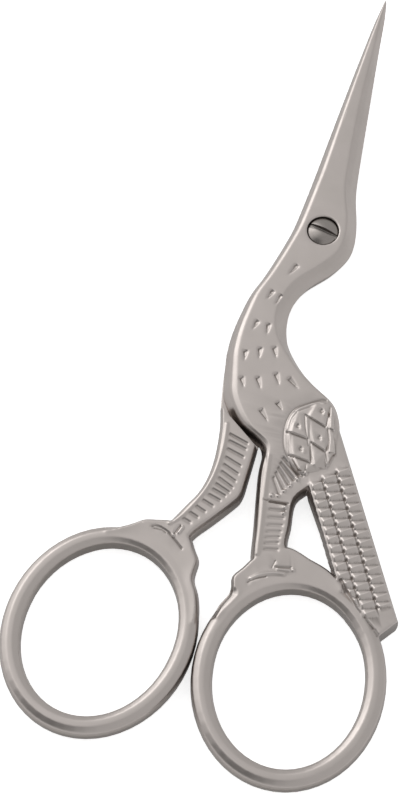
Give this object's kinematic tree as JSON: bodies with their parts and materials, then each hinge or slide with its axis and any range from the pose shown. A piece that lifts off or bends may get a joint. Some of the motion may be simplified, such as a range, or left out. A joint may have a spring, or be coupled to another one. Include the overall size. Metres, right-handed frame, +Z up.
{
  "type": "embroidery scissors",
  "caption": "Small stork-shaped embroidery scissors: a beak of two pointed blades that open on a slotted pivot screw, with ribbed legs, a feathered tail and oval finger bows.",
  "frame": {"origin": "on the axis of the pivot screw, in the plane on which the closed scissors lie", "axes": "+Y to the point of the beak, +X to the right seen from the side with the screw head, +Z up through the screw to its head"},
  "size_m": [0.0487, 0.114, 0.0042],
  "materials": {
    "satin_nickel_steel": "bead-blasted, nickel plated",
    "screw_steel": "turned, lightly polished"
  },
  "bodies": {
    "front_half": {"front_half": "satin_nickel_steel"},
    "back_half": {"back_half": "satin_nickel_steel", "pivot_screw": "screw_steel"}
  },
  "joints": [
    {"name": "blade_hinge", "type": "hinge", "parent": "front_half", "child": "back_half", "pos_m": [0, 0, 0], "axis": [0, 0, -1], "range_deg": [0, 70]}
  ]
}
